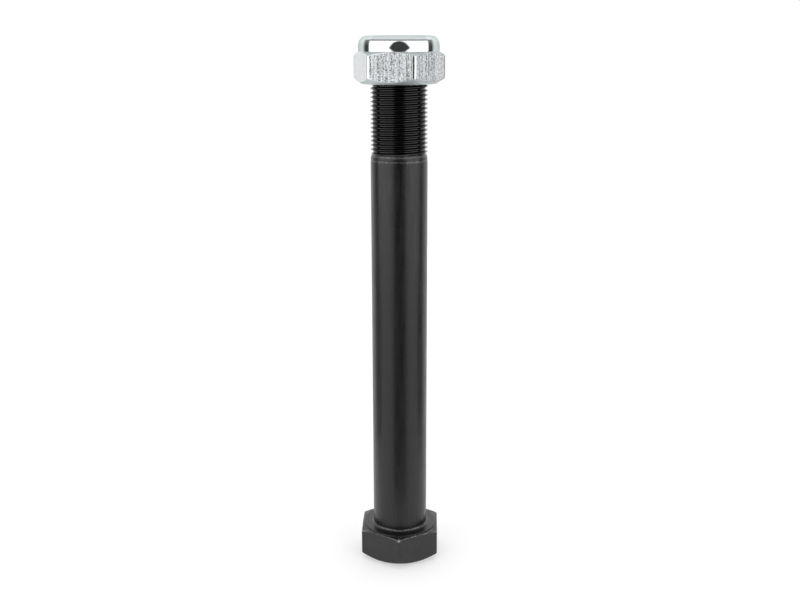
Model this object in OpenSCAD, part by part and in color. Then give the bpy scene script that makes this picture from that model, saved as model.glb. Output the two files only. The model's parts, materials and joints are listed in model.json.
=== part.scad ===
// Suspension pin: a hex-headed pin with a plain shank and a rolled thread, and the lock nut on its end.
// It stands on its head. The origin is at the middle of the head's end face and +Z runs up the pin.
// Lengths are in millimetres and angles in degrees.

/* [Thread] */
// Major diameter of the thread, over its crests
thread_d = 28.575; // [27:0.005:30]
// Pitch of the thread, one turn of the nut
thread_pitch = 2.117; // [1.5:0.001:3]
// Length of the thread from the shank's shoulder to the tip
thread_len = 50.9; // [46:0.1:80]
// Chamfer on the tip, along the radius and along the axis
tip_chamfer = 1.6; // [0.8:0.1:2.5]
// Gap along the radius between the thread and what runs on it
thread_clearance = 0.05; // [0.02:0.01:0.1]

/* [Shank] */
// How much thinner the shank is than the crests of the thread
shank_undersize = 0.1; // [0:0.005:0.4]
// Length of the shank from the seat under the head to the thread
shank_len = 199.1; // [80:0.1:300]
// Fillet between the shank and the head's seat
fillet_r = 1.3; // [0.4:0.1:2.5]
// Length of the steep part of the shoulder, next to the thread
shoulder_len = 1.5; // [0.8:0.1:3]
// Length of the slow taper that leads from the shoulder to the full shank
lead_len = 3; // [1:0.1:6]
// How far the lead drops along the radius over its length
lead_drop = 0.13; // [0.02:0.01:0.25]

/* [Head] */
// Width of the head across its flats
head_af = 40.3; // [38:0.1:46]
// Height of the head
head_h = 17.6; // [12:0.1:24]
// How far the rim of the end face lies inside the flats
head_end_inset = 3.3; // [0.3:0.1:4]
// How far the rim of the seat lies inside the flats
head_seat_inset = 0.9; // [0.1:0.1:1.5]

/* [Nut] */
// Width of the nut across its flats
nut_af = 40.1; // [39:0.1:46]
// Height of the hexagon, from the nut's seat to the foot of its collar
nut_hex_h = 15.3; // [13:0.1:22]
// Height of the round collar above the hexagon
collar_h = 7.6; // [6.2:0.1:10]
// How far the collar's side lies inside the flats
collar_inset = 0.1; // [0.1:0.05:1]
// Thickness of the collar's wall and of the lip that is rolled over the insert
collar_wall = 1.7; // [1.2:0.1:2.4]
// Outer radius of the rolled edge of the collar
collar_round = 4; // [3:0.1:5]
// How far the rim of the nut's seat lies inside the flats
nut_seat_inset = 1.9; // [0.3:0.1:3]
// How far the lip's hole stands clear of the crests of the thread
lip_gap = 0.6; // [0.3:0.1:1]
// How far the mouth of the nut's bore is opened beyond the crests of the thread
mouth_gap = 0.6; // [0.2:0.1:1]
// Turn of the nut about the pin, counted from the head's own corners
nut_angle = 21; // [0:0.1:60]

/* [Insert] */
// Thickness of the locking insert
insert_h = 4.2; // [3:0.1:4.8]
// Gap between the insert and the pocket that it turns in
insert_clearance = 0.05; // [0.02:0.01:0.1]
// Gap between the pin's tip and the insert when the nut is run on by hand
tip_gap = 0.3; // [0.1:0.1:1]

/* [Hidden] */

$fn = 96;
// Half of a hexagon's corner angle, which ties its corners to its flats
HEX_HALF = 30;
// Slope of the machined chamfers on the hexagons, from the end faces
CHAMFER = 30;
// Slope of the slight chamfer that forging leaves round the seat under the head
SEAT_CHAMFER = 15;
// Slope of the mouth of the nut's bore, from the axis
MOUTH = 60;
// Length by which cutting shapes pass the faces that they cut
OVER = 1;
// Pitch diameter of a 60-degree thread lies this share of the pitch inside the crests
PITCH_LINE = 0.6495;

crest_r = thread_d / 2;
// The thread is rolled on a blank of its pitch diameter, and the solid keeps that blank
blank_r = (thread_d - PITCH_LINE * thread_pitch) / 2;
shank_r = crest_r - shank_undersize / 2;

head_end_r = head_af / 2 - head_end_inset;
head_seat_r = head_af / 2 - head_seat_inset;
shoulder_z = head_h + shank_len;
tip_z = shoulder_z + thread_len;

nut_seat_r = nut_af / 2 - nut_seat_inset;
collar_r = nut_af / 2 - collar_inset;
nut_h = nut_hex_h + collar_h;
pocket_r = collar_r - collar_wall;
pocket_round = collar_round - collar_wall;
pocket_top = nut_h - collar_wall;
pocket_floor = pocket_top - insert_h - 2 * insert_clearance;
bore_r = blank_r + thread_clearance;
mouth_r = crest_r + mouth_gap;
lip_r = crest_r + lip_gap;

// The nut is run on by hand until its insert meets the tip
nut_z = tip_z - pocket_floor + tip_gap - insert_clearance;

// Radius of a hexagon's corners from its width across flats
function corner_r(af) = af / 2 / cos(HEX_HALF);

// A hexagonal blank of height h, chamfered at both ends: machined at the foot rim, and at the top rim
// by the given slope
module hex_blank(af, h, foot_rim, top_rim, top_slope) {
    far = corner_r(af) + OVER;
    intersection() {
        rotate(HEX_HALF) cylinder(r = corner_r(af), h = h, $fn = 6);
        rotate_extrude() polygon([
            [0, 0],
            [foot_rim, 0],
            [far, (far - foot_rim) * tan(CHAMFER)],
            [far, h - (far - top_rim) * tan(top_slope)],
            [top_rim, h],
            [0, h]
        ]);
    }
}

// Half section of a disc of radius r and height h whose upper rim is rounded
module rounded_disc_section(r, h, round) {
    square([r, h - round]);
    square([r - round, h]);
    translate([r - round, h - round]) intersection() {
        circle(round);
        square(round);
    }
}

// Half section of the fillet that runs from the shank out onto the head's seat
module fillet_section() {
    translate([shank_r, head_h]) difference() {
        translate([-OVER, -OVER]) square(fillet_r + OVER);
        translate([fillet_r, fillet_r]) circle(fillet_r);
    }
}

// Half section of the shank, its shoulder, the thread blank and the chamfered tip
module shaft_section() {
    polygon([
        [0, head_h - OVER],
        [shank_r, head_h - OVER],
        [shank_r, shoulder_z - shoulder_len - lead_len],
        [shank_r - lead_drop, shoulder_z - shoulder_len],
        [blank_r, shoulder_z],
        [blank_r, tip_z - tip_chamfer],
        [blank_r - tip_chamfer, tip_z],
        [0, tip_z]
    ]);
}

module pin() {
    color("#2e2e30") {
        hex_blank(head_af, head_h, head_end_r, head_seat_r, SEAT_CHAMFER);
        rotate_extrude() fillet_section();
        rotate_extrude() shaft_section();
    }
}

// Half section of everything that is cut out of the nut: mouth, bore, pocket and the lip's hole
module nut_cavity_section() {
    polygon([
        [0, -OVER],
        [mouth_r + OVER * tan(MOUTH), -OVER],
        [bore_r, (mouth_r - bore_r) / tan(MOUTH)],
        [bore_r, pocket_floor + OVER],
        [0, pocket_floor + OVER]
    ]);
    translate([0, pocket_floor]) rounded_disc_section(pocket_r, pocket_top - pocket_floor, pocket_round);
    translate([0, pocket_floor]) square([lip_r, nut_h + OVER - pocket_floor]);
}

module lock_nut() {
    color("#c7cacc") translate([0, 0, nut_z]) rotate(nut_angle) difference() {
        union() {
            hex_blank(nut_af, nut_hex_h, nut_seat_r, collar_r, CHAMFER);
            translate([0, 0, nut_hex_h - OVER])
                rotate_extrude() rounded_disc_section(collar_r, collar_h + OVER, collar_round);
        }
        rotate_extrude() nut_cavity_section();
    }
}

module locking_insert() {
    color("#e9e6da") translate([0, 0, nut_z + pocket_floor + insert_clearance]) difference() {
        rotate_extrude() rounded_disc_section(
            pocket_r - insert_clearance, insert_h, pocket_round - insert_clearance);
        translate([0, 0, -OVER]) cylinder(r = bore_r, h = insert_h + 2 * OVER);
    }
}

pin();
lock_nut();
locking_insert();
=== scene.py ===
"""Suspension pin with its lock nut, dressed for rendering.

The pin stands on its head at the origin with +Z up its axis. Lengths are in metres. Every place and size
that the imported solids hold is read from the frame; what they leave out, such as the thread's ridges, the
rounding of edges and the finishes, is set by the properties below.
"""

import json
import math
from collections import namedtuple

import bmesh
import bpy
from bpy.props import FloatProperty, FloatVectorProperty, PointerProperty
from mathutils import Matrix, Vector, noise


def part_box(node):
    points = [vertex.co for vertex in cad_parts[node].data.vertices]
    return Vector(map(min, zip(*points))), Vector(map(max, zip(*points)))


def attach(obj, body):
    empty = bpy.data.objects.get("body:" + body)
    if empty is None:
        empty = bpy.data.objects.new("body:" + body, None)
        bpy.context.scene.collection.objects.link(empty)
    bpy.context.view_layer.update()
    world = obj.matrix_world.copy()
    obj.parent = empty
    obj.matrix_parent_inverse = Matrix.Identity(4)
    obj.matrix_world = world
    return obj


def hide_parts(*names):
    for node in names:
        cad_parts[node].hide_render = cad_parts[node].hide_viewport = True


bl_info = {
    "name": "Suspension Pin",
    "version": (1, 0, 0),
    "blender": (4, 5, 0),
    "location": "View3D > Sidebar > Suspension Pin",
    "description": "Builds a hex-headed suspension pin, its lock nut and a plain studio",
    "category": "Object",
}

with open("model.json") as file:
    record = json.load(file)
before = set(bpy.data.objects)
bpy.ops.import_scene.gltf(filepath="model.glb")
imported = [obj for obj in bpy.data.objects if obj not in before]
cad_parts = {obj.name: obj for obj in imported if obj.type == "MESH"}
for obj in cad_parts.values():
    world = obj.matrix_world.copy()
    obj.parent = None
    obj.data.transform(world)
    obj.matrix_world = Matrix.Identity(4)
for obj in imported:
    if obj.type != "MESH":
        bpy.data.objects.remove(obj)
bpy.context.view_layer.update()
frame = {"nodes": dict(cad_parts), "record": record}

MM = 0.001
SIXTH = math.radians(60)
TWELFTH = math.radians(30)
# Points closer than this lie at the same height, or on the axis
TOUCH = 5e-6

# A place along a half-section: its (radius, height), how much of a worn edge it is, and the finish that
# follows it. Black oxide is rubbed thin in places on an edge of 1 and knocked off in places on one of 2.
# The same share also paints highlights: grey rings on the pin's fillet, lead and shoulder, and a lighter
# flat on the nut.
Place = namedtuple("Place", "point edge finish")


def linear(hex_colour):
    """An sRGB hex colour as linear red, green and blue."""
    shares = [int(hex_colour[i : i + 2], 16) / 255 for i in (1, 3, 5)]
    return tuple(s / 12.92 if s <= 0.04045 else ((s + 0.055) / 1.055) ** 2.4 for s in shares)


def mount(name):
    """One of the record's mounts, by its name."""
    return next(m for m in frame["record"]["mounts"] if m["name"] == name)


def rim_radii(node, height):
    """Smallest and largest distance from the axis of a node's points at one height."""
    points = [v.co for v in frame["nodes"][node].data.vertices]
    radii = [p.xy.length for p in points if abs(p.z - height) < TOUCH]
    return min(radii), max(radii)


def hexagon(node):
    """Width across flats and the bearing of one corner of a node's hexagon."""
    corner = max((v.co for v in frame["nodes"][node].data.vertices), key=lambda p: p.xy.length)
    return 2 * corner.xy.length * math.cos(TWELFTH), math.atan2(corner.y, corner.x)


# Sizes of the pin that the solids hold
PIN_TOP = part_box("pin")[1].z
HEAD_FLATS, HEAD_CORNER = hexagon("pin")
HEAD_H = mount("head_seat")["pos_m"][2]
HEAD_END_R = rim_radii("pin", 0)[1]
FILLET_FOOT_R, HEAD_SEAT_R = rim_radii("pin", HEAD_H)
SHANK_R = mount("shank")["dims"]["r_mm"] * MM
FILLET_R = FILLET_FOOT_R - SHANK_R
SHANK_TOP = HEAD_H + FILLET_R + mount("shank")["dims"]["length_mm"] * MM
TIP_R = rim_radii("pin", PIN_TOP)[1]
PITCH = frame["record"]["behaviour"]["couplings"][0]["ratio"] * math.tau

# Sizes of the nut and its insert that the solids hold
NUT_FOOT, NUT_TOP = (corner.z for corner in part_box("lock_nut"))
NUT_FLATS, NUT_CORNER = hexagon("lock_nut")
MOUTH_R, NUT_SEAT_R = rim_radii("lock_nut", NUT_FOOT)
LIP_R, COLLAR_TOP_R = rim_radii("lock_nut", NUT_TOP)
INSERT_LOW, INSERT_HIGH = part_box("locking_insert")
INSERT_BORE_R, INSERT_TOP_R = rim_radii("locking_insert", INSERT_HIGH.z)
POCKET_FLOOR = max(v.co.z for v in frame["nodes"]["lock_nut"].data.vertices if v.co.z < INSERT_LOW.z)

# Slopes of the chamfers, from the end faces, and of the mouth of the nut's bore, from the axis
CHAMFER_SLOPE = math.tan(math.radians(30))
SEAT_SLOPE = math.tan(math.radians(15))
MOUTH_SLOPE = math.tan(math.radians(60))

# A unified thread: share of the pitch in the crest's flat, and in half of the root's, and its depth
CREST_SHARE = 1 / 8
ROOT_HALF_SHARE = 1 / 12
THREAD_DEPTH = PITCH * (0.5 - CREST_SHARE / 2 - ROOT_HALF_SHARE) / math.tan(TWELFTH)


def size(name, description, millimetres):
    """A property that holds a length, given in millimetres."""
    return FloatProperty(
        name=name, description=description, default=millimetres * MM, unit="LENGTH", precision=5
    )


def colour(name, description, hex_colour):
    """A property that holds a colour, given as sRGB hex."""
    return FloatVectorProperty(
        name=name, description=description, default=linear(hex_colour), subtype="COLOR", min=0, max=1
    )


def angle(name, description, degrees):
    """A property that holds an angle, given in degrees."""
    return FloatProperty(
        name=name, description=description, default=math.radians(degrees), subtype="ANGLE", precision=4
    )


class PinSettings(bpy.types.PropertyGroup):
    """Sizes and colours of the pin that a user would change."""

    lead_len: size("Lead", "Length of the slow taper at the end of the shank", 3.0)
    lead_drop: size("Lead drop", "How far the lead falls along the radius", 0.13)
    shoulder_len: size("Shoulder", "Length of the steep part of the shoulder", 1.5)
    run_out: size("Run-out", "Length over which the thread fades in at the shoulder", 0.8)
    crest_round: size("Crest rounding", "Reach of the rounding on the thread's crests", 0.06)
    root_round: size("Root rounding", "Reach of the rounding in the thread's roots", 0.12)
    corner_round: size("Corner radius", "Radius on the upright corners of the head", 0.4)
    edge_round: size("Edge rounding", "Reach of the rounding on the head's other edges", 0.5)
    seat_step: size("Seat step", "Height of the turned seat above the forged chamfer round it", 0.5)
    edge_wear: size("Edge wear", "How far the head's worn edges wander from straight", 0.12)
    nick: size("Nick", "Reach of the nick in the head's front corner", 1.3)
    oxide: colour("Black oxide", "Blackened steel of the head", "#18181a")
    oxide_shank: colour("Denser oxide", "Blackened steel of the turned shank", "#070708")
    oxide_thread: colour("Oiled oxide", "Blackened steel of the thread, which holds oil", "#030303")
    # This grey also paints the highlight rings on the pin's fillet, lead and shoulder
    oxide_worn_and_sheen: colour("Worn oxide", "Dark steel that shows where the black is rubbed thin", "#6c6c70")
    bare_steel: colour("Bare steel", "Steel that shows where the black is knocked off", "#c4c2be")


class NutSettings(bpy.types.PropertyGroup):
    """Sizes and colours of the lock nut that a user would change."""

    hex_h: size("Hexagon", "Height of the hexagon up to the foot of the collar", 15.3)
    collar_inset: size("Collar inset", "How far the collar's side lies inside the flats", 0.1)
    collar_wall: size("Collar wall", "Thickness of the collar's wall and its lip", 1.7)
    barrel: size("Barrel radius", "Radius of the slight barrel on the collar's side", 12.0)
    waist: size("Barrel height", "Height of the collar's widest place above its foot", 1.8)
    clearance: size("Thread clearance", "Gap along the radius between the two threads", 0.08)
    corner_round: size("Corner radius", "Radius on the upright corners of the hexagon", 1.9)
    edge_round: size("Edge rounding", "Reach of the rounding on the other edges", 0.45)
    edge_wear: size("Edge wear", "How far the edges wander from straight", 0.1)
    zinc: colour("Zinc", "Bright zinc plating", "#dadddf")
    passivate: colour("Passivate", "Zinc plating under a thicker film of passivate", "#c9d1d0")
    zinc_dull: colour("Dull zinc", "Zinc plating in the hollows of the rough flats", "#5e6164")


class InsertSettings(bpy.types.PropertyGroup):
    """Sizes and colours of the locking insert that a user would change."""

    edge_round: size("Edge rounding", "Reach of the rounding on the insert's edges", 0.4)
    nylon: colour("Nylon", "Natural nylon of the insert", "#e4e0d2")
    nylon_flow: colour("Flow marks", "Nylon that cooled as it flowed into the mould", "#d6d0bd")


class StageSettings(bpy.types.PropertyGroup):
    """Camera and light of the studio."""

    camera_distance: size("Camera distance", "From the pin's axis, along the floor", 515.2)
    camera_height: size("Camera height", "Above the floor", 272.6)
    camera_bearing: angle("Camera bearing", "Round the pin from its front corner", 1.8)
    camera_heading: angle("Camera heading", "How far the camera looks past the axis", -0.03)
    camera_tilt: angle("Camera tilt", "Below the horizon", 14.29)
    camera_roll: angle("Camera roll", "About the line of sight", -0.13)
    lens: FloatProperty(name="Lens", description="Focal length", default=46.28, unit="CAMERA")
    tent: FloatProperty(
        name="Tent", description="Brightness of the light tent, where white is 1", default=1.78, min=0
    )
    backdrop: FloatProperty(
        name="Backdrop", description="Brightness of the backdrop, where white is 1", default=1.0, min=0
    )
    floor: colour("Floor", "Paper that the pin stands on", "#cacaca")


def polar(radius, bearing, height):
    """The point at a distance from the axis, a bearing round it and a height."""
    return Vector((radius * math.cos(bearing), radius * math.sin(bearing), height))


def smooth(share):
    """A share from 0 to 1 that starts and ends gently."""
    share = min(max(share, 0.0), 1.0)
    return share * share * (3 - 2 * share)


def corner_tangent(flats, corner_round):
    """Half of the bearing that a hexagon's rounded corner takes up."""
    centre = (flats / 2 - corner_round) / math.cos(TWELFTH)
    return math.atan2(corner_round / 2, centre + corner_round * math.cos(TWELFTH))


def off_corner(bearing, corner):
    """Bearing counted from the nearest corner of a hexagon that has one at corner."""
    return (bearing - corner + TWELFTH) % SIXTH - TWELFTH


def hex_radius(off, flats, corner_round):
    """Distance from the axis to a hexagon's side at a bearing off its nearest corner."""
    if abs(off) < corner_tangent(flats, corner_round):
        centre = (flats / 2 - corner_round) / math.cos(TWELFTH)
        return centre * math.cos(off) + math.sqrt(corner_round**2 - (centre * math.sin(off)) ** 2)
    return flats / 2 / math.cos(TWELFTH - abs(off))


def hex_bearings(corner, tangent):
    """Bearings round a hexagon, close together across each rounded corner and wider along the flats."""
    near = [tangent * share for share in (0, 0.35, 0.7, 1, 2)]
    wide = [near[-1] + (TWELFTH - near[-1]) * share for share in (0.15, 0.32, 0.5, 0.68, 0.85)]
    half = near + wide
    sector = [-off for off in reversed(half[1:])] + half + [TWELFTH]
    return [corner + k * SIXTH + off for k in range(6) for off in sector]


def even_bearings(bearings, corner):
    """As many bearings as given, evenly spaced, with the same ones on the hexagon's corners."""
    count = len(bearings)
    first = min(range(count), key=lambda i: abs(bearings[i] - corner))
    return [corner + math.tau * (i - first) / count for i in range(count)]


def softened(points, reaches, cuts=None, finishes=None, worn=None, steps=4):
    """A half-section with its inner corners rounded, as places.

    points are (radius, height) pairs, reaches says how far each inner corner's rounding runs along its
    two sides, cuts gives extra places, as shares, on the side that follows a point, finishes gives each
    side's finish, and worn says how much of an edge each inner corner is.
    """
    points = [Vector(point) for point in points]
    cuts = cuts or {}
    finishes = finishes or [0] * len(points)
    worn = worn or [0.0] * len(reaches)
    arcs = [[Place(points[0], 0.0, finishes[0])]]
    for side, reach in enumerate(reaches):
        before, corner, after = points[side : side + 3]
        back, ahead = before - corner, after - corner
        # A rounding takes less than half of a side, so that two never meet
        run = min(reach, 0.45 * back.length, 0.45 * ahead.length)
        start, end = corner + back.normalized() * run, corner + ahead.normalized() * run
        arc = []
        for k in range(steps + 1):
            share = k / steps
            bend = start.lerp(corner, share).lerp(corner.lerp(end, share), share)
            edge = worn[side] * math.sin(math.pi * share)
            arc.append(Place(bend, edge, finishes[side + (share >= 0.5)]))
        arcs.append(arc)
    arcs.append([Place(points[-1], 0.0, finishes[-1])])
    line = list(arcs[0])
    for side, (last, arc) in enumerate(zip(arcs, arcs[1:])):
        for share in cuts.get(side, ()):
            line.append(Place(last[-1].point.lerp(arc[0].point, share), 0.0, finishes[side]))
        line += arc
    return line


def quarter(centre, radius, start, end, steps, finish=0):
    """Places on an arc of the half-section, after its start and up to its end."""
    turns = [start + (end - start) * k / steps for k in range(1, steps + 1)]
    return [Place(centre + radius * Vector((math.cos(t), math.sin(t))), 0.0, finish) for t in turns]


def upright_edge(line, low, high, share):
    """The same places, with an upright corner's share of edge between two heights."""
    return [p._replace(edge=max(p.edge, share)) if low <= p.point.y <= high else p for p in line]


def skin(bm, lower, upper, finish):
    """Joins two rings of points by faces, which are triangles where two points are the same."""
    for i in range(len(lower)):
        corners = list(dict.fromkeys((lower[i - 1], lower[i], upper[i], upper[i - 1])))
        if len(corners) > 2:
            bm.faces.new(corners).material_index = finish


def add_rings(bm, wear, columns, bearing):
    """Rings of points joined by faces; columns holds the half-section at each bearing."""
    rings = []
    for j in range(len(columns[0])):
        places = [column[j] for column in columns]
        if places[0].point.x < TOUCH:
            rings.append([bm.verts.new((0, 0, places[0].point.y))] * len(columns))
            continue
        ring = []
        for i, place in enumerate(places):
            ring.append(bm.verts.new(polar(place.point.x, bearing(i, j), place.point.y)))
            ring[-1][wear] = place.edge
        rings.append(ring)
    for j in range(len(rings) - 1):
        skin(bm, rings[j], rings[j + 1], columns[0][j].finish)
    return rings


def thread_profile(crest_round, root_round):
    """Shares of one pitch along the thread and its height there, from the root up."""
    crest, root = PITCH * CREST_SHARE / 2, PITCH * (0.5 - ROOT_HALF_SHARE)
    ridge = [(-root, 0), (-crest, THREAD_DEPTH), (crest, THREAD_DEPTH), (root, 0)]
    corners = [(-PITCH / 2, 0), *ridge, (PITCH / 2, 0)]
    reaches = [root_round, crest_round, crest_round, root_round]
    line = softened(corners, reaches, steps=2)
    return [(place.point.x / PITCH, place.point.y) for place in line[:-1]]


def add_thread(bm, bearings, foot, top, profile, radius, finish):
    """Ridges of a right-hand thread between two rings, on a helix that passes the thread's own origin."""
    low, high = foot[0].co.z, top[0].co.z
    # A point this close to an end ring moves onto it, so that no sliver is left
    snap = 0.04 * PITCH
    first, last = math.floor(low / PITCH) - 2, math.ceil(high / PITCH) + 2
    rows = []
    for turn in range(first, last):
        for place, height in profile:
            row = []
            for i, bearing in enumerate(bearings):
                z = PITCH * (turn + place + bearing / math.tau)
                if z < low + snap:
                    row.append(foot[i])
                elif z > high - snap:
                    row.append(top[i])
                else:
                    row.append(bm.verts.new(polar(radius(height, z), bearing, z)))
            rows.append(row)
    one_turn = len(profile)
    for q in range(len(rows) - one_turn - 1):
        lower = rows[q] + rows[q + one_turn][:1]
        upper = rows[q + 1] + rows[q + 1 + one_turn][:1]
        for i in range(len(bearings)):
            corners = list(dict.fromkeys((lower[i], lower[i + 1], upper[i + 1], upper[i])))
            if len(corners) > 2:
                bm.faces.new(corners).material_index = finish


def roughen_edges(bm, points, wear, amount, grain, patches=0.0):
    """Lets the worn edges wander along their normals, and wear in patches, in waves of about one grain."""
    bm.normal_update()
    for point in points:
        if point[wear] > 0:
            wave = noise.noise(point.co / grain)
            point.co += point.normal * (wave * amount * point[wear])
            point[wear] *= 1 + patches * wave


def add_piece(name, bm, materials, body, node_name):
    """Turns a finished bmesh into a piece that rides on a body and stands for a node."""
    bmesh.ops.recalc_face_normals(bm, faces=bm.faces)
    mesh = bpy.data.meshes.new(name)
    bm.to_mesh(mesh)
    bm.free()
    mesh.polygons.foreach_set("use_smooth", [True] * len(mesh.polygons))
    for material in materials:
        mesh.materials.append(material)
    piece = bpy.data.objects.new(name, mesh)
    bpy.context.scene.collection.objects.link(piece)
    piece.modifiers.new("flat faces stay flat", "WEIGHTED_NORMAL").keep_sharp = True
    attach(piece, body)
    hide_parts(node_name)
    return piece


def add_node(tree, kind, settings=None, inputs=None):
    """Adds a node: settings are its own fields, and inputs are values or the sockets that feed it."""
    made = tree.nodes.new(kind)
    for field, value in (settings or {}).items():
        setattr(made, field, value)
    for socket, value in (inputs or {}).items():
        if isinstance(value, bpy.types.NodeSocket):
            tree.links.new(value, made.inputs[socket])
        else:
            made.inputs[socket].default_value = value
    return made


def new_material(name):
    """An empty node material, its tree and its output node."""
    material = bpy.data.materials.new(name)
    material.use_nodes = True
    material.node_tree.nodes.clear()
    return material, material.node_tree, material.node_tree.nodes.new("ShaderNodeOutputMaterial")


def opaque(rgb):
    """A colour with full alpha, as node sockets hold it."""
    return (*rgb, 1.0)


def black_oxide(name, pin, shade, roughness, relief):
    """Black oxide on steel, dipped and oiled.

    The thin conversion coat is a near-black that shines like a lacquer: it mirrors the lights softly, is
    rubbed in faint clouds and drag marks along the pin, turns grey on edges and is gone where knocked. The
    same grey paints highlight rings where the pin's fillet, lead and shoulder are given a share of edge.
    relief is how rough the steel under it is, whose fine grain is drawn as coarse as it needs to show.
    """
    material, tree, output = new_material(name)
    place = add_node(tree, "ShaderNodeTexCoord").outputs["Object"]
    clouds = add_node(
        tree, "ShaderNodeTexNoise", inputs={"Vector": place, "Scale": 1 / (7 * MM), "Detail": 5.0}
    ).outputs["Fac"]
    along = add_node(tree, "ShaderNodeMapping", inputs={"Vector": place, "Scale": (1, 1, 0.1)})
    drags = add_node(
        tree, "ShaderNodeTexNoise",
        inputs={"Vector": along.outputs["Vector"], "Scale": 1 / (1.5 * MM), "Detail": 3.0},
    ).outputs["Fac"]
    grain = add_node(
        tree, "ShaderNodeTexNoise", inputs={"Vector": place, "Scale": 1 / (0.7 * MM), "Detail": 4.0}
    ).outputs["Fac"]
    # An edge wears where the grain stands proud: first the black is rubbed thin, then it is knocked off.
    # The same mask paints the highlight rings on the fillet, lead and shoulder as rubbed grey
    edge = add_node(tree, "ShaderNodeAttribute", {"attribute_name": "edge_wear"}).outputs["Fac"]
    bite = add_node(tree, "ShaderNodeMath", {"operation": "MULTIPLY"}, {0: edge, 1: grain})
    rubbed = add_node(
        tree, "ShaderNodeMapRange", {"interpolation_type": "SMOOTHSTEP"},
        {"Value": bite.outputs[0], "From Min": 0.35, "From Max": 0.95},
    ).outputs["Result"]
    knocked = add_node(
        tree, "ShaderNodeMapRange", {"interpolation_type": "SMOOTHSTEP"},
        {"Value": bite.outputs[0], "From Min": 1.15, "From Max": 1.6},
    ).outputs["Result"]
    thin = add_node(
        tree, "ShaderNodeMapRange",
        inputs={"Value": clouds, "From Min": 0.35, "From Max": 0.8, "To Max": relief / 6},
    ).outputs["Result"]
    worn = add_node(tree, "ShaderNodeMath", {"operation": "MAXIMUM"}, {0: thin, 1: rubbed})
    coat = add_node(
        tree, "ShaderNodeMix", {"data_type": "RGBA"},
        {"Factor": worn.outputs[0], 6: opaque(shade), 7: opaque(pin.oxide_worn_and_sheen)},
    ).outputs[2]
    base = add_node(
        tree, "ShaderNodeMix", {"data_type": "RGBA"},
        {"Factor": knocked, 6: coat, 7: opaque(pin.bare_steel)},
    ).outputs[2]
    gloss = add_node(
        tree, "ShaderNodeMapRange",
        inputs={
            "Value": drags, "From Min": 0.3, "From Max": 0.7,
            "To Min": roughness - 0.08, "To Max": roughness + 0.08,
        },
    ).outputs["Result"]
    height = add_node(tree, "ShaderNodeMath", {"operation": "ADD"}, {0: grain, 1: clouds})
    bump = add_node(
        tree, "ShaderNodeBump",
        inputs={"Height": height.outputs[0], "Strength": relief, "Distance": 0.05 * MM},
    ).outputs["Normal"]
    shader = add_node(
        tree, "ShaderNodeBsdfPrincipled",
        inputs={"Base Color": base, "Metallic": rubbed, "Roughness": gloss, "Normal": bump},
    )
    tree.links.new(shader.outputs["BSDF"], output.inputs["Surface"])
    return material


def bright_zinc(name, nut, roughness):
    """Zinc plating with a clear passivate on turned steel.

    Turning leaves the collar smooth, so the plating is nearly a mirror, with a faint ripple and a faint
    tint where the passivate is thicker. On the faces turned coarser it is a soft sheen. At a glancing view
    light crosses more of the passivate, which dims it. The ripple is drawn as coarse as it needs to show.
    """
    material, tree, output = new_material(name)
    place = add_node(tree, "ShaderNodeTexCoord").outputs["Object"]
    film = add_node(
        tree, "ShaderNodeTexNoise", inputs={"Vector": place, "Scale": 1 / (6 * MM), "Detail": 2.0}
    ).outputs["Fac"]
    tint = add_node(
        tree, "ShaderNodeMix", {"data_type": "RGBA"},
        {"Factor": film, 6: opaque(nut.zinc), 7: opaque(nut.passivate)},
    ).outputs[2]
    ripple = add_node(
        tree, "ShaderNodeTexNoise", inputs={"Vector": place, "Scale": 1 / (0.5 * MM), "Detail": 3.0}
    ).outputs["Fac"]
    gloss = add_node(
        tree, "ShaderNodeMapRange",
        inputs={"Value": ripple, "To Min": 0.7 * roughness, "To Max": 1.3 * roughness},
    ).outputs["Result"]
    bump = add_node(
        tree, "ShaderNodeBump", inputs={"Height": ripple, "Strength": 0.1, "Distance": 0.02 * MM}
    ).outputs["Normal"]
    shader = add_node(
        tree, "ShaderNodeBsdfPrincipled",
        inputs={
            "Base Color": tint, "Metallic": 1.0, "Roughness": gloss, "Normal": bump,
            "Specular Tint": opaque(nut.passivate),
        },
    )
    tree.links.new(shader.outputs["BSDF"], output.inputs["Surface"])
    return material


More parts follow.
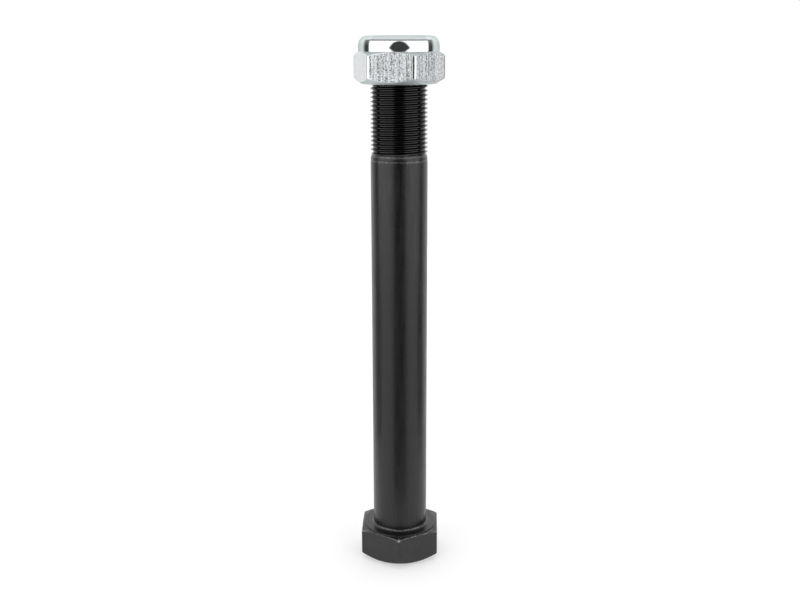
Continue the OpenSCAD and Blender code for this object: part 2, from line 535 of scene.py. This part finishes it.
def rough_zinc(name, nut):
    """Zinc plating on the drawn flats of the hexagon.

    Drawing drags the steel along the bar, so the plating lies over upright scores and torn pits, and the
    flats glitter in grey and white. Handling has burnished the corners. Scores and pits are drawn as coarse
    as they need to show, about half a millimetre wide.
    """
    material, tree, output = new_material(name)
    place = add_node(tree, "ShaderNodeTexCoord").outputs["Object"]
    along = add_node(tree, "ShaderNodeMapping", inputs={"Vector": place, "Scale": (1, 1, 0.02)})
    scores = add_node(
        tree, "ShaderNodeTexNoise",
        inputs={"Vector": along.outputs["Vector"], "Scale": 1 / (0.55 * MM), "Detail": 3.0},
    ).outputs["Fac"]
    pits = add_node(
        tree, "ShaderNodeTexNoise", inputs={"Vector": place, "Scale": 1 / (0.58 * MM), "Detail": 2.0}
    ).outputs["Fac"]
    relief = add_node(tree, "ShaderNodeMath", {"operation": "MULTIPLY_ADD"}, {0: scores, 1: 0.95, 2: pits})
    proud = add_node(
        tree, "ShaderNodeMapRange", {"interpolation_type": "SMOOTHSTEP"},
        {"Value": relief.outputs[0], "From Min": 0.71, "From Max": 1.05},
    ).outputs["Result"]
    edge = add_node(tree, "ShaderNodeAttribute", {"attribute_name": "edge_wear"}).outputs["Fac"]
    # Edges and burnished corners turn bright zinc; on the flat that faces left the same share paints it
    # lighter, a painted reflection
    bright = add_node(tree, "ShaderNodeMath", {"operation": "ADD", "use_clamp": True}, {0: proud, 1: edge})
    tone = add_node(
        tree, "ShaderNodeMix", {"data_type": "RGBA"},
        {"Factor": bright.outputs[0], 6: opaque(nut.zinc_dull), 7: opaque(nut.zinc)},
    ).outputs[2]
    torn = add_node(
        tree, "ShaderNodeMapRange", inputs={"Value": edge, "From Max": 0.5, "To Min": 1.0, "To Max": 0.15}
    ).outputs["Result"]
    gloss = add_node(
        tree, "ShaderNodeMapRange", inputs={"Value": torn, "To Min": 0.15, "To Max": 0.25}
    ).outputs["Result"]
    bump = add_node(
        tree, "ShaderNodeBump",
        inputs={"Height": relief.outputs[0], "Strength": torn, "Distance": 0.42 * MM},
    ).outputs["Normal"]
    shader = add_node(
        tree, "ShaderNodeBsdfPrincipled",
        inputs={"Base Color": tone, "Metallic": 1.0, "Roughness": gloss, "Normal": bump},
    )
    tree.links.new(shader.outputs["BSDF"], output.inputs["Surface"])
    return material


def natural_nylon(name, insert):
    """Natural nylon, moulded: a milky off-white with a soft shine and faint flow marks."""
    material, tree, output = new_material(name)
    place = add_node(tree, "ShaderNodeTexCoord").outputs["Object"]
    flow = add_node(
        tree, "ShaderNodeTexNoise", inputs={"Vector": place, "Scale": 1 / (3 * MM), "Detail": 3.0}
    ).outputs["Fac"]
    tone = add_node(
        tree, "ShaderNodeMix", {"data_type": "RGBA"},
        {"Factor": flow, 6: opaque(insert.nylon), 7: opaque(insert.nylon_flow)},
    ).outputs[2]
    gloss = add_node(
        tree, "ShaderNodeMapRange", inputs={"Value": flow, "To Min": 0.38, "To Max": 0.52}
    ).outputs["Result"]
    shader = add_node(
        tree, "ShaderNodeBsdfPrincipled", inputs={"Base Color": tone, "Roughness": gloss, "IOR": 1.53}
    )
    tree.links.new(shader.outputs["BSDF"], output.inputs["Surface"])
    return material


class PIN_OT_add_pin(bpy.types.Operator):
    """Add the hex-headed pin with its thread"""

    bl_idname = "suspension_pin.add_pin"
    bl_label = "Pin"

    FORGED, TURNED, ROLLED = range(3)
    # Wear of the head's level edges, from its end face up, and of its upright corners, and the painted
    # highlight ring on the fillet, laid on as wear
    HEAD_WEAR = [0.5, 0.5, 1.75, 0.0, 0.0]
    CORNER_WEAR = 0.9
    PAINTED_FILLET_SHEEN = 1.4
    # Length of the waves that the head's worn edges wander in, and how much the wear differs along them
    WEAR_WAVE = 1.6 * MM
    WEAR_PATCHES = 1.4
    # Two rings of painted highlight on the lead and on the shoulder, laid on as rubbed oxide: their
    # strength, half of the width, and place of the lower one
    PAINTED_RING_SHEEN = 1.5
    RING_HALF = 1.2 * MM
    RING_BELOW_SHOULDER = 1.5 * MM
    # Rounding where the lead begins and where the shoulder does
    LEAD_ROUNDS = [0.4 * MM, 0.3 * MM]
    # Shares of the seat step's height by which it leans out and its edges are rounded
    STEP_LEAN = 0.15
    STEP_ROUND = 0.3
    # The nick is tall and narrow and goes in and down by shares of its reach; it is bare but for its rim
    NICK_NARROWING = Vector((1.5, 1.0, 0.8))
    NICK_PUSH = Vector((0.0, 0.35, -0.14))
    NICK_WEAR = 3.5
    NICK_RIM_SLOPE = 6

    def execute(self, context):
        pin = context.scene.suspension_pin
        bm = bmesh.new()
        # edge_wear holds the worn edges, and also the painted highlight rings on the fillet, lead and
        # shoulder
        wear = bm.verts.layers.float.new("edge_wear")
        tangent = corner_tangent(HEAD_FLATS, pin.corner_round)
        bearings = hex_bearings(HEAD_CORNER, tangent)
        round_bearings = even_bearings(bearings, HEAD_CORNER)
        shoulder_z = SHANK_TOP + pin.lead_len
        thread_z = shoulder_z + pin.shoulder_len
        blank_r = rim_radii("pin", thread_z)[0]
        heads = [self.head(pin, off_corner(b, HEAD_CORNER), tangent) for b in bearings]
        on_hexagon = len(heads[0]) - 1
        shaft = self.shaft(pin, shoulder_z, thread_z, blank_r)
        rings = add_rings(
            bm, wear, [head + shaft for head in heads],
            lambda i, j: bearings[i] if j < on_hexagon else round_bearings[i],
        )
        self.thread(bm, pin, round_bearings, rings[-1], blank_r)
        head_points = [point for ring in rings[1:on_hexagon] for point in ring]
        roughen_edges(bm, head_points, wear, pin.edge_wear, self.WEAR_WAVE, self.WEAR_PATCHES)
        self.nick(bm, wear, pin)
        materials = [
            black_oxide("black oxide on forged steel", pin, pin.oxide, roughness=0.33, relief=0.5),
            black_oxide("black oxide on turned steel", pin, pin.oxide_shank, roughness=0.32, relief=0.15),
            black_oxide(
                "oiled black oxide on rolled thread", pin, pin.oxide_thread, roughness=0.1, relief=0.0
            ),
        ]
        add_piece("hex_pin", bm, materials, "pin", "pin")
        return {"FINISHED"}

    def head(self, pin, off, tangent):
        """Half-section of the head at one bearing off its nearest corner."""
        side = hex_radius(off, HEAD_FLATS, pin.corner_round)
        low = (side - HEAD_END_R) * CHAMFER_SLOPE
        high = HEAD_H - max(pin.seat_step, (side - HEAD_SEAT_R) * SEAT_SLOPE)
        points = [
            (0, 0),
            (HEAD_END_R, 0),
            (side, low),
            (side, high),
            (HEAD_SEAT_R + self.STEP_LEAN * pin.seat_step, HEAD_H - pin.seat_step),
            (HEAD_SEAT_R, HEAD_H),
            (FILLET_FOOT_R, HEAD_H),
        ]
        reaches = [pin.edge_round] * 3 + [self.STEP_ROUND * pin.seat_step] * 2
        cuts = {0: (0.5, 0.9), 2: (0.08, 0.2, 0.35, 0.5, 0.65, 0.8, 0.92), 5: (0.2, 0.6)}
        finishes = [self.FORGED] * 4 + [self.TURNED] * 3
        line = softened(points, reaches, cuts, finishes, self.HEAD_WEAR)
        return upright_edge(line, low, high, self.CORNER_WEAR * max(0.0, 1 - abs(off) / tangent))

    def shaft(self, pin, shoulder_z, thread_z, blank_r):
        """Half-section from the fillet under the head up to the foot of the thread."""
        steps = 8
        centre = Vector((FILLET_FOOT_R, HEAD_H + FILLET_R))
        fillet = quarter(centre, FILLET_R, math.radians(270), math.radians(180), steps, self.TURNED)
        # The fillet's grey ring is a painted highlight, given as a share of worn edge
        worn = [self.PAINTED_FILLET_SHEEN * math.sin(math.pi * k / steps) for k in range(steps)]
        section = [place._replace(edge=edge) for place, edge in zip(fillet, worn)]
        points = [
            (SHANK_R, HEAD_H + FILLET_R),
            (SHANK_R, SHANK_TOP),
            (SHANK_R - pin.lead_drop, shoulder_z),
            (blank_r, thread_z),
        ]
        rows = 16
        cuts = {0: [k / rows for k in range(1, rows)], 1: (0.3, 0.5, 0.65, 0.8, 0.92), 2: (0.25, 0.5, 0.75)}
        # The rings on the lead and the shoulder are painted highlights, given as a share of worn edge
        rings = (shoulder_z - self.RING_BELOW_SHOULDER, (shoulder_z + thread_z) / 2)
        for place in softened(points, self.LEAD_ROUNDS, cuts, [self.TURNED] * 4)[1:]:
            rubbed = max(1 - abs(place.point.y - ring) / self.RING_HALF for ring in rings)
            section.append(place._replace(edge=self.PAINTED_RING_SHEEN * max(0.0, rubbed)))
        return section

    def thread(self, bm, pin, bearings, foot, blank_r):
        """Rolled thread from the shoulder to the chamfered tip, and the tip's end face."""
        profile = thread_profile(pin.crest_round, pin.root_round)
        root_r = blank_r - THREAD_DEPTH / 2
        foot_z = foot[0].co.z

        def radius(height, z):
            rolled = blank_r + (root_r + height - blank_r) * smooth((z - foot_z) / pin.run_out)
            return min(rolled, TIP_R + (PIN_TOP - z))

        tip = [bm.verts.new(polar(TIP_R, b, PIN_TOP)) for b in bearings]
        add_thread(bm, bearings, foot, tip, profile, radius, self.ROLLED)
        # A ring part of the way in keeps the end face's triangles from being slivers
        inner = [bm.verts.new(polar(TIP_R * 0.6, b, PIN_TOP)) for b in bearings]
        skin(bm, tip, inner, self.ROLLED)
        skin(bm, inner, [bm.verts.new((0, 0, PIN_TOP))] * len(bearings), self.ROLLED)

    def nick(self, bm, wear, pin):
        """Knocks the front corner of the head in where its upright edge meets the seat's chamfer."""
        corner_r = HEAD_FLATS / 2 / math.cos(TWELFTH)
        centre = polar(corner_r, -math.pi / 2, HEAD_H - (corner_r - HEAD_SEAT_R) * SEAT_SLOPE)
        for point in bm.verts:
            away = point.co - centre
            share = 1 - (away * self.NICK_NARROWING).length / pin.nick
            if share > 0:
                point.co += self.NICK_PUSH * (pin.nick * share)
                point[wear] = max(point[wear], min(self.NICK_WEAR, self.NICK_RIM_SLOPE * share))


class PIN_OT_add_nut(bpy.types.Operator):
    """Add the lock nut with its rolled collar and its thread"""

    bl_idname = "suspension_pin.add_nut"
    bl_label = "Lock nut"

    TURNED, DRAWN, FACED = range(3)
    # How burnished the smooth flat is, which makes it smoother and paints it lighter as a painted
    # reflection of the white it mirrors at a glance, and how many half-widths off a corner the corners'
    # burnished band ends
    SMOOTH_FLAT_AND_SHEEN = 0.4
    CORNER_RUB = 1.6
    # Length of the waves that the nut's edges wander in
    WEAR_WAVE = 1.4 * MM
    # Rounding at the foot of the collar, and on the upper and lower edges of the lip
    COLLAR_FOOT_ROUND = 0.15 * MM
    LIP_ROUNDS = [0.6 * MM, 0.2 * MM]
    # Share of the thread's depth that is left off its crests, and the length over which it ends at the top
    CREST_CUT = 0.12
    RUN_OUT = 0.5 * PITCH

    def execute(self, context):
        nut = context.scene.suspension_nut
        pin = context.scene.suspension_pin
        bm = bmesh.new()
        # edge_wear holds the worn and burnished edges, and the painted lighter colour of the flat that
        # faces left
        wear = bm.verts.layers.float.new("edge_wear")
        tangent = corner_tangent(NUT_FLATS, nut.corner_round)
        bearings = hex_bearings(NUT_CORNER, tangent)
        columns = [self.section(nut, off_corner(b, NUT_CORNER), self.burnish_and_sheen(b, tangent)) for b in bearings]
        rings = add_rings(bm, wear, columns, lambda i, j: bearings[i])
        self.thread(bm, nut, pin, bearings, rings[0], rings[-1])
        roughen_edges(bm, bm.verts, wear, nut.edge_wear, self.WEAR_WAVE)
        materials = [
            bright_zinc("bright zinc on turned steel", nut, roughness=0.08),
            rough_zinc("zinc on drawn steel", nut),
            bright_zinc("zinc on faced steel", nut, roughness=0.5),
        ]
        add_piece("crowned_nut", bm, materials, "nut", "lock_nut")
        return {"FINISHED"}

    def burnish_and_sheen(self, bearing, tangent):
        """How smooth the hexagon is at a bearing: rubbed corners, and one flat that left the die smooth,
        whose lighter colour is a painted reflection.
        """
        middle = NUT_CORNER + SIXTH * (math.floor((bearing - NUT_CORNER) / SIXTH) + 0.5)
        faces_left = math.cos(middle - math.pi) > math.cos(TWELFTH)
        # The flat that faces left is smoother, and its lighter colour is a painted reflection of the white
        # it mirrors at a glance
        flat = self.SMOOTH_FLAT_AND_SHEEN if faces_left else 0.0
        rubbed = self.CORNER_RUB - abs(off_corner(bearing, NUT_CORNER)) / tangent
        return max(flat, min(1.0, rubbed))

    def section(self, nut, off, burnish_and_sheen):
        """Half-section of the nut from the mouth of its bore, over its outside, to the pocket's floor."""
        side = hex_radius(off, NUT_FLATS, nut.corner_round)
        collar_r = NUT_FLATS / 2 - nut.collar_inset
        collar_round = collar_r - COLLAR_TOP_R
        hex_top = NUT_FOOT + nut.hex_h
        low = NUT_FOOT + (side - NUT_SEAT_R) * CHAMFER_SLOPE
        high = hex_top - (side - collar_r) * CHAMFER_SLOPE
        waist = Vector((collar_r - nut.barrel, hex_top + nut.waist))
        foot_turn = -math.asin(nut.waist / nut.barrel)
        top_turn = math.asin((NUT_TOP - waist.y - collar_round) / (nut.barrel - collar_round))
        barrel = quarter(waist, nut.barrel, foot_turn, top_turn, 12)
        outside = [
            (MOUTH_R, NUT_FOOT),
            (NUT_SEAT_R, NUT_FOOT),
            (side, low),
            (side, high),
            (waist.x + nut.barrel * math.cos(foot_turn), hex_top),
            barrel[0].point,
        ]
        reaches = [nut.edge_round] * 3 + [self.COLLAR_FOOT_ROUND]
        cuts = {0: (0.5,), 2: (0.1, 0.25, 0.4, 0.6, 0.75, 0.9), 4: (0.15, 0.5)}
        finishes = [self.FACED, self.FACED, self.DRAWN, self.FACED, self.TURNED, self.TURNED]
        line = softened(outside, reaches, cuts, finishes, [1.0] * 4)
        line = upright_edge(line, low, high, burnish_and_sheen)
        rolled = waist + (nut.barrel - collar_round) * Vector((math.cos(top_turn), math.sin(top_turn)))
        line += barrel[1:] + quarter(rolled, collar_round, top_turn, math.pi / 2, 12)
        return line + self.pocket(nut, rolled.x, collar_r - nut.collar_wall, collar_round - nut.collar_wall)

    def pocket(self, nut, rolled_r, pocket_r, pocket_round):
        """Half-section from the top of the rolled edge, round the lip, to the foot of the pocket."""
        pocket_top = NUT_TOP - nut.collar_wall
        lip = [(rolled_r, NUT_TOP), (LIP_R, NUT_TOP), (LIP_R, pocket_top), (COLLAR_TOP_R, pocket_top)]
        line = softened(lip, self.LIP_ROUNDS)[1:]
        centre = Vector((COLLAR_TOP_R, pocket_top - pocket_round))
        line += quarter(centre, pocket_round, math.pi / 2, 0, 8)
        corners = (pocket_r, POCKET_FLOOR), (self.open_radius(nut), POCKET_FLOOR)
        return line + [Place(Vector(corner), 0.0, self.TURNED) for corner in corners]

    def open_radius(self, nut):
        """Radius of the bore where its thread ends, which clears the crests of the pin's thread."""
        return INSERT_BORE_R + THREAD_DEPTH / 2 + nut.clearance

    def thread(self, bm, nut, pin, bearings, foot, top):
        """Thread in the nut's bore, in step with the pin's."""
        profile = thread_profile(pin.crest_round, pin.root_round)
        open_r = self.open_radius(nut)

        def radius(height, z):
            cut = open_r + max(height, self.CREST_CUT * THREAD_DEPTH) - THREAD_DEPTH
            opened = open_r + (cut - open_r) * smooth((POCKET_FLOOR - z) / self.RUN_OUT)
            return max(opened, MOUTH_R - (z - NUT_FOOT) * MOUTH_SLOPE)

        add_thread(bm, bearings, foot, top, profile, radius, self.TURNED)


class PIN_OT_add_insert(bpy.types.Operator):
    """Add the locking insert under the nut's lip"""

    bl_idname = "suspension_pin.add_insert"
    bl_label = "Locking insert"

    def execute(self, context):
        insert = context.scene.suspension_insert
        bm = bmesh.new()
        wear = bm.verts.layers.float.new("edge_wear")
        outer_r, top_z = INSERT_HIGH.x, INSERT_HIGH.z
        shoulder = outer_r - INSERT_TOP_R
        bore = (INSERT_BORE_R, (INSERT_LOW.z + top_z) / 2)
        foot = [bore, (INSERT_BORE_R, INSERT_LOW.z), (outer_r, INSERT_LOW.z), (outer_r, top_z - shoulder)]
        section = softened(foot, [insert.edge_round] * 2, steps=6)
        section += quarter(Vector((INSERT_TOP_R, top_z - shoulder)), shoulder, 0, math.pi / 2, 8)
        top = [(INSERT_TOP_R, top_z), (INSERT_BORE_R, top_z), bore]
        section += softened(top, [2 * insert.edge_round], steps=6)[1:-1]
        count = 96
        rings = add_rings(bm, wear, [section] * count, lambda i, j: math.tau * i / count)
        skin(bm, rings[-1], rings[0], 0)
        add_piece(
            "nylon_ring", bm, [natural_nylon("natural nylon", insert)], "insert", "locking_insert"
        )
        return {"FINISHED"}


class PIN_OT_add_stage(bpy.types.Operator):
    """Add the floor, the light tent and the camera"""

    bl_idname = "suspension_pin.add_stage"
    bl_label = "Stage"

    FLOOR_REACH = 0.85
    # What is added to the lit paper where it is looked at
    FLOOR_LIFT = 0.48
    # Name, bearing from the front, half of the spread, in degrees, and nearest reach of each grey cloth
    FLAGS = (("front flag", 3, 26, 0.1), ("left flag", -97, 16, 0.18), ("right flag", 97, 16, 0.18))
    FLAG_COLOUR = "#8c8c8c"
    # Where the tent ends and the backdrop begins, aside and upwards
    TENT_SIDE = {"From Min": 0.96, "From Max": 1.1}
    TENT_TOP = {"From Min": 0.54, "From Max": 0.57}
    BACKDROP_SIDE = {"From Min": 1.3, "From Max": 1.8}
    BACKDROP_TOP = {"From Min": 0.7, "From Max": 0.74}
    # What the metal mirrors of the dark above the tent, and of the seam at its sides, low down and high up
    DARK_TOP = 0.04
    DARK_SEAM = {"From Min": 0.1, "From Max": 0.5, "To Min": 0.06, "To Max": 0.3}
    # The camera's opening: its shift aside, how round its sides are, how steeply it ends, and its soft edge
    OPENING_SHIFT = 0.026
    OPENING_ROUND = 1.5
    OPENING_SIDE = 3.75
    OPENING_ABOVE = 2.6
    OPENING_BELOW = -4.1
    OPENING_EDGE = {"From Min": 0.8, "From Max": 1.15, "To Min": 0.035, "To Max": 1.0}

    def execute(self, context):
        stage = context.scene.suspension_stage
        context.scene.view_settings.view_transform = "Standard"
        self.floor(context, stage)
        self.flags(context)
        self.tent(context, stage)
        self.camera(context, stage)
        return {"FINISHED"}

    def sheet(self, context, name, corners, material):
        """A flat sheet of the stage."""
        mesh = bpy.data.meshes.new(name)
        mesh.from_pydata(corners, [], [range(len(corners))])
        mesh.materials.append(material)
        sheet = bpy.data.objects.new(name, mesh)
        context.scene.collection.objects.link(sheet)
        return sheet

    def floor(self, context, stage):
        """Pale paper under the pin, lifted to white for the camera and the metal, and taking its shadow."""
        material, tree, output = new_material("white paper")
        paper = add_node(tree, "ShaderNodeBsdfDiffuse", inputs={"Color": opaque(stage.floor)})
        ray = add_node(tree, "ShaderNodeLightPath").outputs
        shine = add_node(
            tree, "ShaderNodeMath", {"operation": "MAXIMUM"},
            {0: ray["Is Glossy Ray"], 1: ray["Is Transmission Ray"]},
        ).outputs[0]
        seen = add_node(
            tree, "ShaderNodeMath", {"operation": "MAXIMUM"}, {0: ray["Is Camera Ray"], 1: shine}
        ).outputs[0]
        lift = add_node(tree, "ShaderNodeMath", {"operation": "MULTIPLY"}, {0: seen, 1: self.FLOOR_LIFT})
        glow = add_node(tree, "ShaderNodeEmission", inputs={"Strength": lift.outputs[0]})
        both = add_node(
            tree, "ShaderNodeAddShader", inputs={0: paper.outputs["BSDF"], 1: glow.outputs["Emission"]}
        )
        tree.links.new(both.outputs["Shader"], output.inputs["Surface"])
        corners = [polar(self.FLOOR_REACH, math.radians(6 * k), 0) for k in range(60)]
        self.sheet(context, "floor", corners, material)

    def flags(self, context):
        """Grey cloths before and beside the pin, which only its shine shows."""
        material, tree, output = new_material("grey cloth")
        cloth = add_node(tree, "ShaderNodeBsdfDiffuse", inputs={"Color": opaque(linear(self.FLAG_COLOUR))})
        tree.links.new(cloth.outputs["BSDF"], output.inputs["Surface"])
        far = self.FLOOR_REACH
        for name, bearing, half, near in self.FLAGS:
            sides = [math.radians(bearing + turn - 90) for turn in (-half, half)]
            reaches = [(near, sides[0]), (far, sides[0]), (far, sides[1]), (near, sides[1])]
            flag = self.sheet(context, name, [polar(r, side, MM) for r, side in reaches], material)
            flag.visible_camera = False
            flag.visible_diffuse = False
            flag.visible_shadow = False

    def tent(self, context, stage):
        """A light tent round the camera, a dark seam where it ends and a white backdrop behind the pin.

        The backdrop is white to every ray, and the camera sees white all round. What the metal also mirrors
        is the tent, with the camera's own dark opening in it. A direction is told by the surface that would
        mirror it to a level camera at the front: aside and up are that surface's slopes, and rise is its
        lean. So the tent's edges lie upright or level on the nut's round collar.
        """
        world = bpy.data.worlds.new("light tent")
        context.scene.world = world
        world.use_nodes = True
        tree = world.node_tree
        tree.nodes.clear()
        output = tree.nodes.new("ShaderNodeOutputWorld")
        way = add_node(tree, "ShaderNodeTexCoord").outputs["Generated"]
        parts = add_node(tree, "ShaderNodeSeparateXYZ", inputs={"Vector": way})
        depth = add_node(
            tree, "ShaderNodeMath", {"operation": "SUBTRACT"}, {0: 1.0, 1: parts.outputs["Y"]}
        ).outputs[0]
        aside = add_node(
            tree, "ShaderNodeMath", {"operation": "DIVIDE"}, {0: parts.outputs["X"], 1: depth}
        ).outputs[0]
        up = add_node(
            tree, "ShaderNodeMath", {"operation": "DIVIDE"}, {0: parts.outputs["Z"], 1: depth}
        ).outputs[0]
        reach = add_node(tree, "ShaderNodeMath", {"operation": "SQRT"}, {0: depth}).outputs[0]
        rise = add_node(tree, "ShaderNodeMath", {"operation": "MULTIPLY"}, {0: up, 1: reach}).outputs[0]
        side = add_node(tree, "ShaderNodeMath", {"operation": "ABSOLUTE"}, {0: aside}).outputs[0]
        # The tent, which ends at its top and runs into the seam at its sides
        top = add_node(
            tree, "ShaderNodeMapRange", {"interpolation_type": "SMOOTHSTEP"},
            {"Value": rise, **self.TENT_TOP, "To Min": stage.tent, "To Max": self.DARK_TOP},
        ).outputs["Result"]
        seam = add_node(
            tree, "ShaderNodeMapRange", inputs={"Value": rise, **self.DARK_SEAM}
        ).outputs["Result"]
        front = add_node(
            tree, "ShaderNodeMapRange", {"interpolation_type": "SMOOTHSTEP"},
            {"Value": side, **self.TENT_SIDE, "To Min": top, "To Max": seam},
        ).outputs["Result"]
        # The backdrop, which also closes the room overhead
        roof = add_node(
            tree, "ShaderNodeMapRange", {"interpolation_type": "SMOOTHSTEP"},
            {"Value": rise, **self.BACKDROP_TOP, "To Max": stage.backdrop},
        ).outputs["Result"]
        behind = add_node(
            tree, "ShaderNodeMapRange", {"interpolation_type": "SMOOTHSTEP"},
            {"Value": side, **self.BACKDROP_SIDE, "To Min": roof, "To Max": stage.backdrop},
        ).outputs["Result"]
        lit = add_node(tree, "ShaderNodeMath", {"operation": "ADD"}, {0: front, 1: behind}).outputs[0]
        # The camera's opening, which reaches further up than down
        off = add_node(
            tree, "ShaderNodeMath", {"operation": "SUBTRACT"}, {0: aside, 1: self.OPENING_SHIFT}
        ).outputs[0]
        wide = add_node(tree, "ShaderNodeMath", {"operation": "ABSOLUTE"}, {0: off}).outputs[0]
        share = add_node(
            tree, "ShaderNodeMath", {"operation": "MULTIPLY"}, {0: wide, 1: self.OPENING_SIDE}
        ).outputs[0]
        round_side = add_node(
            tree, "ShaderNodeMath", {"operation": "POWER"}, {0: share, 1: self.OPENING_ROUND}
        ).outputs[0]
        above = add_node(
            tree, "ShaderNodeMath", {"operation": "MULTIPLY"}, {0: up, 1: self.OPENING_ABOVE}
        ).outputs[0]
        below = add_node(
            tree, "ShaderNodeMath", {"operation": "MULTIPLY"}, {0: up, 1: self.OPENING_BELOW}
        ).outputs[0]
        tall = add_node(tree, "ShaderNodeMath", {"operation": "MAXIMUM"}, {0: above, 1: below}).outputs[0]
        far = add_node(tree, "ShaderNodeMath", {"operation": "ADD"}, {0: round_side, 1: tall}).outputs[0]
        opening = add_node(
            tree, "ShaderNodeMapRange", {"interpolation_type": "SMOOTHSTEP"},
            {"Value": far, **self.OPENING_EDGE},
        ).outputs["Result"]
        room = add_node(tree, "ShaderNodeMath", {"operation": "MULTIPLY"}, {0: lit, 1: opening})
        seen = add_node(tree, "ShaderNodeLightPath").outputs["Is Camera Ray"]
        level = add_node(
            tree, "ShaderNodeMix", {"data_type": "FLOAT"}, {"Factor": seen, 2: room.outputs[0], 3: 1.0}
        ).outputs[0]
        sky = add_node(tree, "ShaderNodeBackground", inputs={"Color": (1, 1, 1, 1), "Strength": level})
        tree.links.new(sky.outputs["Background"], output.inputs["Surface"])

    def camera(self, context, stage):
        """A camera level with the nut that looks down the pin."""
        data = bpy.data.cameras.new("camera")
        data.lens = stage.lens
        data.sensor_width = 36.0
        data.clip_start = 0.01
        camera = bpy.data.objects.new("camera", data)
        place = polar(stage.camera_distance, stage.camera_bearing - math.pi / 2, stage.camera_height)
        turns = (
            Matrix.Rotation(stage.camera_bearing + stage.camera_heading, 4, "Z")
            @ Matrix.Rotation(math.pi / 2 - stage.camera_tilt, 4, "X")
            @ Matrix.Rotation(stage.camera_roll, 4, "Z")
        )
        camera.matrix_world = Matrix.Translation(place) @ turns
        context.scene.collection.objects.link(camera)
        context.scene.camera = camera


OPERATORS = (PIN_OT_add_pin, PIN_OT_add_nut, PIN_OT_add_insert, PIN_OT_add_stage)
GROUPS = {
    "suspension_pin": PinSettings,
    "suspension_nut": NutSettings,
    "suspension_insert": InsertSettings,
    "suspension_stage": StageSettings,
}


class PIN_PT_panel(bpy.types.Panel):
    """Lists the pieces with the sizes and colours that shape them"""

    bl_idname = "PIN_PT_panel"
    bl_label = "Suspension Pin"
    bl_space_type = "VIEW_3D"
    bl_region_type = "UI"
    bl_category = "Suspension Pin"

    def draw(self, context):
        for operator, group in zip(OPERATORS, GROUPS):
            box = self.layout.box()
            box.operator(operator.bl_idname)
            for field in GROUPS[group].__annotations__:
                box.prop(getattr(context.scene, group), field)


CLASSES = (*GROUPS.values(), *OPERATORS, PIN_PT_panel)


def register():
    for cls in CLASSES:
        bpy.utils.register_class(cls)
    for name, group in GROUPS.items():
        setattr(bpy.types.Scene, name, PointerProperty(type=group))


def unregister():
    for name in GROUPS:
        delattr(bpy.types.Scene, name)
    for cls in reversed(CLASSES):
        bpy.utils.unregister_class(cls)


def main():
    register()
    bpy.ops.suspension_pin.add_stage()
    bpy.ops.suspension_pin.add_pin()
    bpy.ops.suspension_pin.add_nut()
    bpy.ops.suspension_pin.add_insert()


if __name__ == "__main__":
    main()
